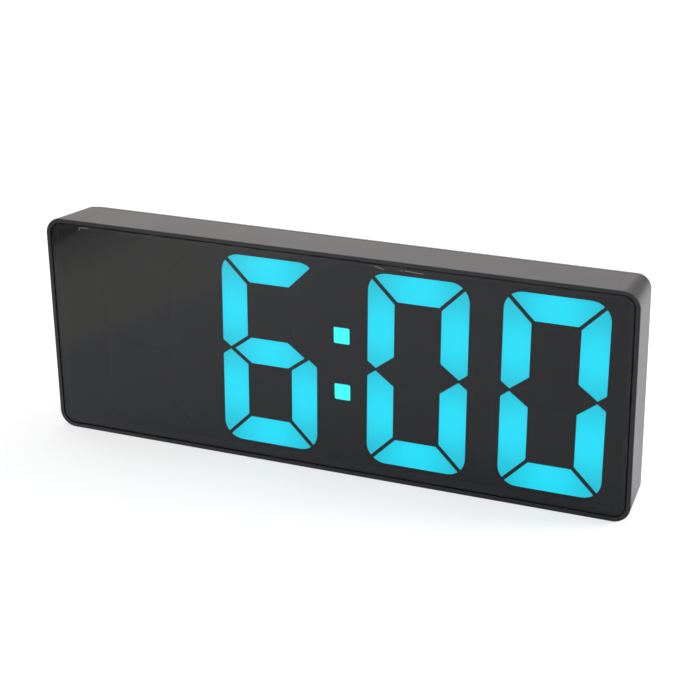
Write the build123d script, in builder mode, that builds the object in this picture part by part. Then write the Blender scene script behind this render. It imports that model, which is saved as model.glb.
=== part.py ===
from build123d import *
import os
from math import cos, radians, sin, sqrt, tan

# A desk clock: four seven-segment digits of light behind a dark panel, in a slim case.
# Millimetres. X runs left to right seen from the front, Y from the front to the back, Z up.
# The origin is on the surface that the clock stands on, under the middle of the clock.
# A depth is a distance behind the front rim of the case.

os.makedirs("parts", exist_ok=True)

# Case
case_width = 160.0
case_height = 60.0
cover_side = 4.5
wall = 1.8
foot_skim = 0.02
housing_lean = 1.58
cover_lean = 1.2
front_corner_r = 4.5
back_corner_r = 3.4
back_edge_r = 2.0
rim_edge_r = 0.3
rim_width = 1.15
rim_chamfer = 0.12
least_corner_r = 0.4
overrun = 2.0

# Front panel, its tape and its ledge
groove = 0.25
panel_recess = 0.2
panel_thickness = 1.5
panel_chamfer = 0.12
tape_thickness = 0.2
tape_margin = 0.15
ledge_width = 1.6
flange_thickness = 1.2
window_corner_r = 2.0

# Digits
digit_row_left = 12.2
digit_row_right = 4.5
digit_row_margin = 1.15
digit_gap = 8.55
colon_space = 13.8
stroke = 7.15
segment_gap = 0.95
digit_corner_r = 5.0
slant = 1.0
waist_angle = 37.0
waist_inset = 2.25
waist_gap = 0.6
colon_dot = 4.4
colon_dot_r = 0.45
colon_spacing = 15.4
lit_segments = {
    "hour_tens": "",
    "hour_units": "acdefg",
    "minute_tens": "abcdef",
    "minute_units": "abcdef",
}

# Light wells and what fills them
block_depth = 4.4
block_margin = 0.85
block_corner_r = 1.5
well_grow = 0.12
diffuser_grow = 0.07
diffuser_thickness = 1.0
well_taper = 18.0
led_width = 3.5
led_length = 2.8
led_height = 0.7
led_dish = 2.0
led_dish_depth = 0.15

# Bosses and screws
boss_r = 2.4
boss_low_share = 0.45
boss_high_share = 0.6
boss_from_end = 9.5
boss_clearance = 0.3
rib_thickness = 1.2
screw_r = 1.0
screw_fit = 0.05
case_screw_length = 9.5
board_screw_length = 4.2
main_screw_length = 4.6
screw_head_r = 1.9
screw_head_height = 1.3
screw_head_edge = 0.4
recess_length = 2.2
recess_width = 0.5
recess_depth = 0.6

# Boards and what they carry
board_thickness = 1.0
board_edge_gap = 0.6
display_board_corner_r = 2.0
main_board_from_bay = 7.7
main_board_from_end = 10.0
main_board_over_boss = 3.4
main_board_under_boss = 2.45
main_board_height = 5.0
board_corner_r = 1.0
main_boss_r = 2.5
main_boss_edge = 3.6
header_pin_count = 8
pin_pitch = 2.54
pin_side = 0.64
pin_fit = 0.15
pin_standoff = 0.1
strip_side = 2.5
switch_side = 6.0
switch_height = 3.5
switch_edge = 0.4
chip_length = 12.8
chip_width = 7.5
chip_height = 2.3
chip_leg_span = 10.2
chip_leg_width = 0.42
chip_leg_height = 0.3
chip_leg_pitch = 1.27
chip_legs = 10
chip_edge = 0.3
crystal_r = 1.0
crystal_length = 6.0
crystal_lead_r = 0.2
crystal_lead_length = 2.0
crystal_lead_gap = 0.7
capacitor_r = 2.0
capacitor_height = 4.5
capacitor_base = 4.3
capacitor_base_height = 0.9
capacitor_edge = 0.3
buzzer_r = 4.5
buzzer_height = 4.4
buzzer_hole_r = 1.0
buzzer_hole_depth = 1.0
buzzer_edge = 0.4
sound_hole_r = 0.7
sound_ring_r = 3.0
sound_holes = 6

# Where the parts of the main board stand, as shares of its width from the bay and of its height
board_shares = {
    "header": (0.477, 0.5),
    "chip": (0.511, 0.232),
    "crystal": (0.705, 0.42),
    "capacitor": (0.716, 0.16),
    "buzzer": (0.295, 0.232),
    "inlet": (0.83, 0.174),
    "mode": (0.273, 0.754),
    "up": (0.432, 0.754),
    "down": (0.591, 0.754),
    "alarm": (0.75, 0.754),
}

# Power inlet
inlet_side = 7.0
inlet_bore_r = 1.8
inlet_bore_depth = 5.6
inlet_pin_r = 0.55
inlet_pin_length = 4.8
inlet_recess = 0.3
inlet_gap = 0.15
inlet_corner_r = 0.8

# Buttons
button_r = 3.5
button_flange_r = 4.3
button_flange = 0.6
button_play = 0.1
button_gap = 0.2
button_proud = 1.0
button_edge = 0.5
button_travel = 0.4
plunger_r = 1.7
plunger_gap = 0.1
plunger_under = 0.7
plunger_floor = 0.1
button_well = 0.5
button_well_margin = 1.6

# Battery bay and door
cell_r = 5.25
cell_length = 44.5
cell_nub_r = 1.9
cell_nub_length = 1.0
cell_edge = 0.4
cell_pitch = 11.1
cell_gap = 0.15
cell_to_door = 0.35
cells = 3
bay_below_middle = 0.8
bay_from_end = 5.8
bay_side_gap = 0.25
bay_wall = 1.0
bay_floor = 0.8
bay_floor_gap = 0.5
rail_width = 1.2
rail_depth = 1.2
door_thickness = 1.4
door_gap = 0.2
tongue_width = 0.8
tongue_thickness = 0.6
grip_lines = 5
grip_pitch = 1.7
grip_width = 0.8
grip_length = 16.0
grip_cut = 0.35
grip_inset = 9.0

# Battery contacts and leads
contact_thickness = 0.3
contact_width = 7.0
contact_half_length = 4.2
leaf_half_length = 3.4
leaf_rise = 3.1
leaf_free_gap = 0.3
contact_top_gap = 1.2
tail_width = 2.0
tail_length = 1.6
tail_gap = 0.15
lead_r = 0.5
lead_bend_r = 3.0
lead_beside_board = 1.5
lead_on_board = 8.0
lead_low_share = 0.3
lead_high_share = 0.55
lead_lift = 0.05

# Locating lip of the back cover
lip_gap = 0.15
lip_thickness = 1.0
lip_length = 1.6
lip_root = 0.5

# Depths that follow from the sizes above: the stack from the rim to the battery door
panel_back = panel_recess + panel_thickness
ledge = panel_back + tape_thickness
flange_back = ledge + flange_thickness
board_front = ledge + block_depth
board_back = board_front + board_thickness
floor_front = board_back + bay_floor_gap
floor_back = floor_front + bay_floor
cell_depth = floor_back + cell_gap + cell_r
door_inside = cell_depth + cell_r + cell_to_door
case_depth = door_inside + door_thickness
full_depth = case_depth + button_proud
front_offset = full_depth / 2
parting_depth = case_depth - cover_side
cover_inside = case_depth - wall
main_board_back = cover_inside - main_board_height
main_board_front = main_board_back - board_thickness
bay_top = door_inside - door_gap
case_screw_seat = parting_depth + screw_head_height
lip_front = parting_depth - lip_length

# Widths and heights that follow from the sizes above
case_mid_z = case_height / 2
panel_width = case_width - 2 * (rim_width + groove)
panel_height = case_height - 2 * (rim_width + groove)
panel_corner_r = front_corner_r - rim_width - groove
window_width = panel_width - 2 * ledge_width
window_height = panel_height - 2 * ledge_width
digits_width = window_width - digit_row_left - digit_row_right - 2 * digit_gap - colon_space
digit_width = digits_width / 4
digit_height = window_height - 2 * digit_row_margin
lean_per_height = tan(radians(slant))

# Places that follow from the sizes above
digit_pitch = digit_width + digit_gap
digit_row_start = digit_row_left - window_width / 2
colon_x = digit_row_start + 2 * digit_width + digit_gap + colon_space / 2
colon_to_digit = (colon_space + digit_width) / 2
digit_places = {
    "hour_tens": colon_x - colon_to_digit - digit_pitch,
    "hour_units": colon_x - colon_to_digit,
    "minute_tens": colon_x + colon_to_digit,
    "minute_units": colon_x + colon_to_digit + digit_pitch,
}
bay_z = case_mid_z - bay_below_middle
bay_outer_end = bay_from_end - case_width / 2
bay_inner_end = bay_outer_end + 2 * contact_thickness + cell_length + leaf_rise + leaf_free_gap
bay_half_height = (cells - 1) * cell_pitch / 2 + cell_r + bay_side_gap
bay_wall_half = bay_half_height + bay_wall
boss_low_z = wall + boss_low_share * (bay_z - bay_wall_half - wall)
boss_top_space = case_height - wall - bay_z - bay_wall_half
boss_high_z = case_height - wall - boss_high_share * boss_top_space
cell_places = [bay_z + (i - (cells - 1) / 2) * cell_pitch for i in range(cells)]
main_board_left = bay_inner_end + main_board_from_bay
main_board_right = case_width / 2 - main_board_from_end
main_board_low_z = boss_low_z + boss_r + main_board_over_boss
main_board_high_z = boss_high_z - boss_r - main_board_under_boss
main_board_tall = main_board_high_z - main_board_low_z
board_places = {
    name: (
        main_board_left + across * (main_board_right - main_board_left),
        main_board_low_z + up * main_board_tall,
    )
    for name, (across, up) in board_shares.items()
}
button_names = ["mode", "up", "down", "alarm"]
button_places = [board_places[name] for name in button_names]
header_x, header_z = board_places["header"]


def between_digits(x, z):
    """A place in a gap between digits, which follows their slant above and below the middle."""
    return (x + (z - case_mid_z) * lean_per_height, z)


def boss_pair(x):
    """The low and the high boss place of one column."""
    return [between_digits(x, boss_low_z), between_digits(x, boss_high_z)]


end_boss_x = boss_from_end - case_width / 2
right_gap_x = (digit_places["minute_tens"] + digit_places["minute_units"]) / 2
left_gap_x = (digit_places["hour_tens"] + digit_places["hour_units"]) / 2
case_bosses = [(end_boss_x, boss_low_z), (end_boss_x, boss_high_z)]
case_bosses += boss_pair(right_gap_x)
board_bosses = boss_pair(left_gap_x) + boss_pair(colon_x)
main_bosses = [
    (x, z)
    for x in (main_board_left + main_boss_edge, main_board_right - main_boss_edge)
    for z in (main_board_low_z + main_boss_edge, main_board_high_z - main_boss_edge)
]


# Planes and outlines
def at_depth(depth):
    """The upright plane at a depth behind the rim, facing the viewer: its x is X and its y is Z."""
    return Plane.XZ.offset(front_offset - depth)


def spot(x, depth, z):
    """A point from its X, its depth behind the rim and its height."""
    return (x, depth - front_offset, z)


def case_outline(depth, inset=0):
    """The case's section at a depth, drawn inset inside its skin. The foot is level up to the seam."""
    lean = housing_lean * min(depth, parting_depth) / parting_depth
    rise = cover_lean * max(depth - parting_depth, 0) / (case_depth - parting_depth)
    corner = front_corner_r + (back_corner_r - front_corner_r) * min(depth / parting_depth, 1)
    top = case_height - lean - rise - inset
    foot = rise + inset - foot_skim
    with BuildSketch(at_depth(depth)) as section:
        with Locations((0, (top + foot) / 2)):
            RectangleRounded(
                case_width - 2 * (lean + rise + inset),
                top - foot,
                max(corner - inset, least_corner_r),
            )
    return section.sketch


def upright_sheet(depth, width, height, corner):
    """A rounded rectangle about the middle of the front, for the panel and what lies behind it."""
    with BuildSketch(at_depth(depth)) as section:
        with Locations((0, case_mid_z)):
            RectangleRounded(width, height, corner)
    return section.sketch


def span(depth, left, right, low, high):
    """A plain rectangle at a depth, from its four edges."""
    with BuildSketch(at_depth(depth)) as section:
        with Locations(((left + right) / 2, (low + high) / 2)):
            Rectangle(right - left, high - low)
    return section.sketch


def rounds(depth, places, radius):
    """Equal circles at a depth."""
    with BuildSketch(at_depth(depth)) as section:
        with Locations(*places):
            Circle(radius)
    return section.sketch


# Seven segments: a on top, then b to f clockwise round the digit, and g across its middle
def digit_outlines(grow):
    """Each segment's corner points about the digit's middle, upright, and grow larger all round."""
    half_w = digit_width / 2 + grow
    half_h = digit_height / 2 + grow
    bar = stroke + 2 * grow
    mitre = (segment_gap - 2 * grow) / sqrt(2)
    slope = tan(radians(waist_angle))
    tip_x = digit_width / 2 - waist_inset
    tip_z = waist_gap / 2 - grow / cos(radians(waist_angle))
    inner_z = tip_z + (tip_x - half_w + bar) * slope
    outer_z = tip_z + (half_w - tip_x) * slope
    middle_end = tip_x + waist_gap / 2 / slope - (segment_gap - grow) / sin(radians(waist_angle))
    middle_corner = middle_end - bar / 2 / slope
    top = [
        (half_w - mitre, half_h),
        (mitre - half_w, half_h),
        (mitre + bar - half_w, half_h - bar),
        (half_w - bar - mitre, half_h - bar),
    ]
    side = [
        (half_w, half_h - mitre),
        (half_w - bar, half_h - bar - mitre),
        (half_w - bar, inner_z),
        (tip_x, tip_z),
        (half_w, outer_z),
    ]
    middle = [
        (middle_end, 0),
        (middle_corner, bar / 2),
        (-middle_corner, bar / 2),
        (-middle_end, 0),
        (-middle_corner, -bar / 2),
        (middle_corner, -bar / 2),
    ]
    mirrors = {
        "a": (top, 1, 1),
        "b": (side, 1, 1),
        "c": (side, 1, -1),
        "d": (top, 1, -1),
        "e": (side, -1, -1),
        "f": (side, -1, 1),
        "g": (middle, 1, 1),
    }
    return {
        letter: [(x * across, z * up) for x, z in points]
        for letter, (points, across, up) in mirrors.items()
    }


def slanted(points, centre_x):
    """Points of an upright digit, leant over and moved to the digit's place."""
    return [(centre_x + x + z * lean_per_height, case_mid_z + z) for x, z in points]


def digit_sketch(depth, centre_x, grow, letters="abcdefg", corner=fillet):
    """Segments of one digit, with the digit's four outer corners rounded, or cut off by chamfer."""
    half_w = digit_width / 2 + grow
    half_h = digit_height / 2 + grow
    corners = [(half_w, half_h), (-half_w, half_h), (-half_w, -half_h), (half_w, -half_h)]
    with BuildSketch(at_depth(depth)) as digit:
        for letter, points in digit_outlines(grow).items():
            if letter in letters:
                Polygon(*slanted(points, centre_x), align=None)
        with BuildSketch(at_depth(depth), mode=Mode.INTERSECT) as frame:
            Polygon(*slanted(corners, centre_x), align=None)
            corner(frame.vertices(), digit_corner_r + grow)
    return digit.sketch


def colon_sketch(depth, grow):
    """The two square dots between hours and minutes."""
    side = colon_dot + 2 * grow
    with BuildSketch(at_depth(depth)) as dots:
        with Locations(*colon_places()):
            RectangleRounded(side, side, colon_dot_r + grow)
    return dots.sketch


def colon_places():
    """Middles of the two dots."""
    return [(colon_x, case_mid_z + up * colon_spacing / 2) for up in (1, -1)]


def digit_windows(depth, grow, corner=fillet):
    """Every segment of every digit."""
    with BuildSketch(at_depth(depth)) as windows:
        for centre_x in digit_places.values():
            add(digit_sketch(depth, centre_x, grow, corner=corner))
    return windows.sketch


def display_windows(depth, grow):
    """Every segment and both dots."""
    with BuildSketch(at_depth(depth)) as windows:
        add(digit_windows(depth, grow))
        add(colon_sketch(depth, grow))
    return windows.sketch


def led_places():
    """A place behind the middle of each segment of each digit."""
    across = (digit_width - stroke) / 2
    up = (digit_height - stroke) / 2
    middles = [(0, up), (0, 0), (0, -up)]
    middles += [(x, z) for x in (across, -across) for z in (up / 2, -up / 2)]
    return [place for centre_x in digit_places.values() for place in slanted(middles, centre_x)]


# Screws
def screws(places, seat, length, backward=1):
    """Pan-head screws with a cross recess, heads seated at a depth and facing the back, or the front."""
    with BuildPart() as group:
        extrude(rounds(seat, places, screw_head_r), amount=-screw_head_height * backward)
        outer = seat + screw_head_height * backward
        crowns = group.edges().filter_by(GeomType.CIRCLE).group_by(Axis.Y)
        chamfer(crowns[-1 if backward > 0 else 0], length=screw_head_edge)
        for wide, tall in ((recess_length, recess_width), (recess_width, recess_length)):
            with BuildSketch(at_depth(outer)):
                with Locations(*places):
                    Rectangle(wide, tall)
            extrude(amount=recess_depth * backward, mode=Mode.SUBTRACT)
        extrude(rounds(seat, places, screw_r), amount=length * backward)
    return group.part


def to_wall(places, width):
    """Upright strips from bosses to the nearer long wall, as wide as asked."""
    with BuildSketch(at_depth(ledge)) as strips:
        for x, z in places:
            wall_z = wall if z < case_mid_z else case_height - wall
            with Locations((x, (z + wall_z) / 2)):
                Rectangle(width, abs(z - wall_z))
    return strips.sketch


# Front housing: rim, ledge for the panel, side walls and bosses
with BuildPart() as front_housing:
    add(case_outline(0))
    add(case_outline(parting_depth))
    loft(ruled=True)
    fillet(front_housing.faces().sort_by(Axis.Y)[0].edges(), radius=rim_edge_r)
    split(bisect_by=Plane.XY, keep=Keep.TOP)
    add(case_outline(flange_back, wall))
    add(case_outline(parting_depth, wall))
    loft(ruled=True, mode=Mode.SUBTRACT)
    recess = upright_sheet(
        0, panel_width + 2 * groove, panel_height + 2 * groove, panel_corner_r + groove
    )
    extrude(recess, amount=-ledge, mode=Mode.SUBTRACT)
    window = upright_sheet(ledge, window_width, window_height, window_corner_r)
    extrude(window, amount=-flange_thickness, mode=Mode.SUBTRACT)
    chamfer(front_housing.faces().sort_by(Axis.Y)[0].inner_wires()[0].edges(), length=rim_chamfer)
    extrude(to_wall(case_bosses + board_bosses, 2 * boss_r), amount=-flange_thickness)
    extrude(to_wall(case_bosses + board_bosses, rib_thickness), amount=-block_depth)
    extrude(rounds(ledge, case_bosses, boss_r), amount=ledge - parting_depth)
    extrude(rounds(ledge, board_bosses, boss_r), amount=-block_depth)
    case_pilots = rounds(parting_depth, case_bosses, screw_r + screw_fit)
    extrude(case_pilots, amount=case_screw_length - screw_head_height, mode=Mode.SUBTRACT)
    board_pilots = rounds(board_front, board_bosses, screw_r + screw_fit)
    extrude(board_pilots, amount=block_depth - flange_thickness / 2, mode=Mode.SUBTRACT)
front_housing.part.label = "front_housing"
export_step(front_housing.part, "parts/front_housing.step")

# Front panel: dark glossy sheet with a fine bevel round its front edge
with BuildPart() as front_panel:
    extrude(
        upright_sheet(panel_recess, panel_width, panel_height, panel_corner_r),
        amount=-panel_thickness,
    )
    chamfer(front_panel.faces().sort_by(Axis.Y)[0].edges(), length=panel_chamfer)
front_panel.part.label = "front_panel"
export_step(front_panel.part, "parts/front_panel.step")

# Adhesive frame between the panel and the ledge
with BuildPart() as panel_tape:
    extrude(
        upright_sheet(
            panel_back,
            panel_width - 2 * tape_margin,
            panel_height - 2 * tape_margin,
            panel_corner_r - tape_margin,
        ),
        amount=-tape_thickness,
    )
    extrude(
        upright_sheet(
            panel_back,
            window_width + 2 * tape_margin,
            window_height + 2 * tape_margin,
            window_corner_r + tape_margin,
        ),
        amount=-tape_thickness,
        mode=Mode.SUBTRACT,
    )
panel_tape.part.label = "panel_tape"
export_step(panel_tape.part, "parts/panel_tape.step")

# Black film behind the panel, with a window for every segment and dot
with BuildPart() as digit_mask:
    extrude(
        upright_sheet(panel_back, window_width, window_height, window_corner_r),
        amount=-tape_thickness,
    )
    extrude(display_windows(panel_back, 0), amount=-tape_thickness, mode=Mode.SUBTRACT)
digit_mask.part.label = "digit_mask"
export_step(digit_mask.part, "parts/digit_mask.step")

# Reflector block: a straight seat for each diffuser, then a well that narrows towards its light
block_left = digit_places["hour_tens"] - digit_width / 2 - 2 * block_margin
block_right = digit_places["minute_units"] + digit_width / 2 + 2 * block_margin
block_half_height = digit_height / 2 + block_margin
well_front = ledge + diffuser_thickness
notch = boss_r + boss_clearance
with BuildPart() as reflector_block:
    with BuildSketch(at_depth(ledge)):
        with Locations(((block_left + block_right) / 2, case_mid_z)):
            RectangleRounded(block_right - block_left, 2 * block_half_height, block_corner_r)
        for x, z in boss_pair(right_gap_x) + board_bosses:
            edge_z = case_mid_z + (block_half_height if z > case_mid_z else -block_half_height)
            with Locations((x, (z + edge_z) / 2)):
                Rectangle(2 * notch, abs(z - edge_z), mode=Mode.SUBTRACT)
            with Locations((x, z)):
                Circle(notch, mode=Mode.SUBTRACT)
    extrude(amount=-block_depth)
    seats = display_windows(ledge, well_grow)
    extrude(seats, amount=-diffuser_thickness, mode=Mode.SUBTRACT)
    extrude(
        digit_windows(well_front, 0, corner=chamfer),
        amount=diffuser_thickness - block_depth,
        taper=well_taper,
        mode=Mode.SUBTRACT,
    )
    extrude(
        colon_sketch(well_front, 0), amount=diffuser_thickness - block_depth, mode=Mode.SUBTRACT
    )
reflector_block.part.label = "reflector_block"
export_step(reflector_block.part, "parts/reflector_block.step")

# Milky diffusers in the mouths of the wells: for each digit those that shine and those that are dark
for digit_name, centre_x in digit_places.items():
    lit = lit_segments[digit_name]
    dark = "".join(letter for letter in "abcdefg" if letter not in lit)
    for state, letters in {"lit": lit, "dark": dark}.items():
        if letters:
            with BuildPart() as segments:
                shapes = digit_sketch(ledge, centre_x, diffuser_grow, letters)
                extrude(shapes, amount=-diffuser_thickness)
            segments.part.label = f"{digit_name}_{state}_segments"
            export_step(segments.part, f"parts/{segments.part.label}.step")

with BuildPart() as colon_dots:
    extrude(colon_sketch(ledge, diffuser_grow), amount=-diffuser_thickness)
colon_dots.part.label = "colon_dots"
export_step(colon_dots.part, "parts/colon_dots.step")

# Display board, against the back of the block and on the short bosses
pin_hole = pin_side + 2 * pin_fit
header_length = header_pin_count * pin_pitch


def header_squares(depth, side):
    """A row of squares at a depth, one at each pin of the header."""
    with BuildSketch(at_depth(depth)) as squares:
        with Locations((header_x, header_z)):
            with GridLocations(pin_pitch, 0, header_pin_count, 1):
                Rectangle(side, side)
    return squares.sketch


board_lean = housing_lean * board_back / parting_depth
board_half_width = case_width / 2 - board_lean - wall - board_edge_gap
with BuildPart() as display_board:
    with BuildSketch(at_depth(board_front)):
        low, high = wall + board_edge_gap, case_height - board_lean - wall - board_edge_gap
        with Locations((0, (low + high) / 2)):
            RectangleRounded(2 * board_half_width, high - low, display_board_corner_r)
    extrude(amount=-board_thickness)
    with BuildSketch(at_depth(board_front)):
        add(rounds(board_front, case_bosses, boss_r + boss_clearance))
        add(rounds(board_front, board_bosses, screw_r + boss_clearance / 2))
        add(header_squares(board_front, pin_hole))
    extrude(amount=-board_thickness, mode=Mode.SUBTRACT)
display_board.part.label = "display_board"
export_step(display_board.part, "parts/display_board.step")

display_screws = screws(board_bosses, board_back, board_screw_length)
display_screws.label = "display_screws"
export_step(display_screws, "parts/display_screws.step")

# Surface-mounted lights, one behind each segment and dot, each with a shallow dish
for led_name, places in {"segment": led_places(), "colon": colon_places()}.items():
    with BuildPart() as leds:
        with BuildSketch(at_depth(board_front - led_height)):
            with Locations(*places):
                Rectangle(led_width, led_length)
        extrude(amount=-led_height)
        with BuildSketch(at_depth(board_front - led_height)):
            with Locations(*places):
                Rectangle(led_dish, led_dish)
        extrude(amount=-led_dish_depth, mode=Mode.SUBTRACT)
    leds.part.label = f"{led_name}_leds"
    export_step(leds.part, f"parts/{led_name}_leds.step")

# Pin header that joins the two boards
strip_front = main_board_front - strip_side
with BuildPart() as header_strip:
    with BuildSketch(at_depth(strip_front)):
        with Locations((header_x, header_z)):
            Rectangle(header_length, strip_side)
    extrude(amount=-strip_side)
    extrude(header_squares(strip_front, pin_hole), amount=-strip_side, mode=Mode.SUBTRACT)
header_strip.part.label = "header_strip"
export_step(header_strip.part, "parts/header_strip.step")

with BuildPart() as header_pins:
    pin_length = main_board_back + pin_side - board_front - pin_standoff
    extrude(header_squares(board_front + pin_standoff, pin_side), amount=-pin_length)
header_pins.part.label = "header_pins"
export_step(header_pins.part, "parts/header_pins.step")

# Main board, on bosses of the back cover
with BuildPart() as main_board:
    with BuildSketch(at_depth(main_board_front)):
        middle = (
            (main_board_left + main_board_right) / 2,
            (main_board_low_z + main_board_high_z) / 2,
        )
        with Locations(middle):
            RectangleRounded(
                main_board_right - main_board_left,
                main_board_high_z - main_board_low_z,
                board_corner_r,
            )
    extrude(amount=-board_thickness)
    with BuildSketch(at_depth(main_board_front)):
        add(rounds(main_board_front, main_bosses, screw_r + boss_clearance / 2))
        add(header_squares(main_board_front, pin_hole))
    extrude(amount=-board_thickness, mode=Mode.SUBTRACT)
main_board.part.label = "main_board"
export_step(main_board.part, "parts/main_board.step")

main_screws = screws(main_bosses, main_board_front, main_screw_length, backward=-1)
main_screws.label = "main_board_screws"
export_step(main_screws, "parts/main_board_screws.step")

# Tact switches: square bodies with a round guide for the plunger
switch_back = main_board_back + switch_height
plunger_front = switch_back - plunger_under
plunger_back = cover_inside - button_play - button_flange
with BuildPart() as tact_switches:
    with BuildSketch(at_depth(main_board_back)):
        with Locations(*button_places):
            Rectangle(switch_side, switch_side)
    extrude(amount=-switch_height)
    chamfer(tact_switches.edges().filter_by(Axis.Y), length=switch_edge)
    guide_depth = plunger_under + button_travel + plunger_floor
    guides = rounds(switch_back, button_places, plunger_r + plunger_gap)
    extrude(guides, amount=guide_depth, mode=Mode.SUBTRACT)
tact_switches.part.label = "tact_switches"
export_step(tact_switches.part, "parts/tact_switches.step")

# Button caps, each with a flange behind the cover, and the switch plungers under them
for name in button_names:
    with BuildPart() as button:
        extrude(rounds(plunger_back, [board_places[name]], button_flange_r), amount=-button_flange)
        extrude(
            rounds(plunger_back, [board_places[name]], button_r), amount=plunger_back - full_depth
        )
        chamfer(button.faces().sort_by(Axis.Y)[-1].edges(), length=button_edge)
    button.part.label = f"{name}_button"
    export_step(button.part, f"parts/{name}_button.step")
    with BuildPart() as plunger:
        extrude(
            rounds(plunger_front, [board_places[name]], plunger_r),
            amount=plunger_front - plunger_back,
        )
        chamfer(plunger.faces().sort_by(Axis.Y)[-1].edges(), length=plunger_gap)
    plunger.part.label = f"{name}_plunger"
    export_step(plunger.part, f"parts/{name}_plunger.step")

# Controller chip with its two rows of legs
with BuildPart() as controller_chip:
    with BuildSketch(at_depth(main_board_back)):
        with Locations(board_places["chip"]):
            Rectangle(chip_length, chip_width)
    extrude(amount=-chip_height)
    chamfer(controller_chip.faces().sort_by(Axis.Y)[-1].edges(), length=chip_edge)
    with BuildSketch(at_depth(main_board_back)):
        with Locations(board_places["chip"]):
            with GridLocations(chip_leg_pitch, chip_leg_span, chip_legs, 1):
                Rectangle(chip_leg_width, chip_leg_span)
    extrude(amount=-chip_leg_height)
controller_chip.part.label = "controller_chip"
export_step(controller_chip.part, "parts/controller_chip.step")

# Watch crystal: a small can lying on the board with two leads
crystal_x, crystal_z = board_places["crystal"]
crystal_depth = main_board_back + crystal_r
crystal_end = crystal_x - crystal_length / 2
with BuildPart() as clock_crystal:
    with BuildSketch(Plane.YZ.offset(crystal_end)):
        with Locations((crystal_depth - front_offset, crystal_z)):
            Circle(crystal_r)
    extrude(amount=crystal_length)
    chamfer(clock_crystal.faces().sort_by(Axis.X)[-1].edges(), length=crystal_r / 4)
    with BuildSketch(Plane.YZ.offset(crystal_end)):
        for side in (1, -1):
            with Locations((crystal_depth - front_offset, crystal_z + side * crystal_lead_gap / 2)):
                Circle(crystal_lead_r)
    extrude(amount=-crystal_lead_length)
clock_crystal.part.label = "clock_crystal"
export_step(clock_crystal.part, "parts/clock_crystal.step")

# Filter capacitor: a can on a square base
with BuildPart() as filter_capacitor:
    with BuildSketch(at_depth(main_board_back)):
        with Locations(board_places["capacitor"]):
            Rectangle(capacitor_base, capacitor_base)
    extrude(amount=-capacitor_base_height)
    can = rounds(main_board_back, [board_places["capacitor"]], capacitor_r)
    extrude(can, amount=-capacitor_height)
    chamfer(filter_capacitor.faces().sort_by(Axis.Y)[-1].edges(), length=capacitor_edge)
filter_capacitor.part.label = "filter_capacitor"
export_step(filter_capacitor.part, "parts/filter_capacitor.step")

# Buzzer with the sound hole in its lid
with BuildPart() as buzzer:
    extrude(rounds(main_board_back, [board_places["buzzer"]], buzzer_r), amount=-buzzer_height)
    chamfer(buzzer.faces().sort_by(Axis.Y)[-1].edges(), length=buzzer_edge)
    lid = main_board_back + buzzer_height
    sound_hole = rounds(lid, [board_places["buzzer"]], buzzer_hole_r)
    extrude(sound_hole, amount=buzzer_hole_depth, mode=Mode.SUBTRACT)
buzzer.part.label = "buzzer"
export_step(buzzer.part, "parts/buzzer.step")

# Power inlet: square socket with a round bore, and its centre pin
inlet_place = [board_places["inlet"]]
inlet_back = case_depth - inlet_recess
with BuildPart() as power_socket:
    with BuildSketch(at_depth(main_board_back)):
        with Locations(*inlet_place):
            RectangleRounded(inlet_side, inlet_side, inlet_corner_r)
    extrude(amount=main_board_back - inlet_back)
    bore = rounds(inlet_back, inlet_place, inlet_bore_r)
    extrude(bore, amount=inlet_bore_depth, mode=Mode.SUBTRACT)
power_socket.part.label = "power_socket"
export_step(power_socket.part, "parts/power_socket.step")

with BuildPart() as socket_pin:
    pin = rounds(inlet_back - inlet_bore_depth, inlet_place, inlet_pin_r)
    extrude(pin, amount=-inlet_pin_length)
    chamfer(socket_pin.faces().sort_by(Axis.Y)[-1].edges(), length=inlet_pin_r / 2)
socket_pin.part.label = "socket_pin"
export_step(socket_pin.part, "parts/socket_pin.step")


# Back cover and battery door, both cut from the same rounded back
def back_block(front, skin):
    """The case's back from a depth, drawn skin inside its outer surface, with its rear edge rounded."""
    with BuildPart() as block:
        add(case_outline(front, skin))
        add(case_outline(case_depth - skin, skin))
        loft(ruled=True)
        fillet(block.faces().sort_by(Axis.Y)[-1].edges(), radius=back_edge_r - skin)
        split(bisect_by=Plane.XY, keep=Keep.TOP)
    return block.part


opening_half = bay_half_height - door_gap
groove_half = opening_half + tongue_width + door_gap
opening_end = bay_inner_end
groove_end = opening_end + tongue_width
door_half = opening_half - door_gap
tongue_half = door_half + tongue_width
rail_half = bay_wall_half + rail_width
lip_inset = wall + lip_gap
inner_inset = lip_inset + lip_thickness
past_end = -case_width

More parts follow.
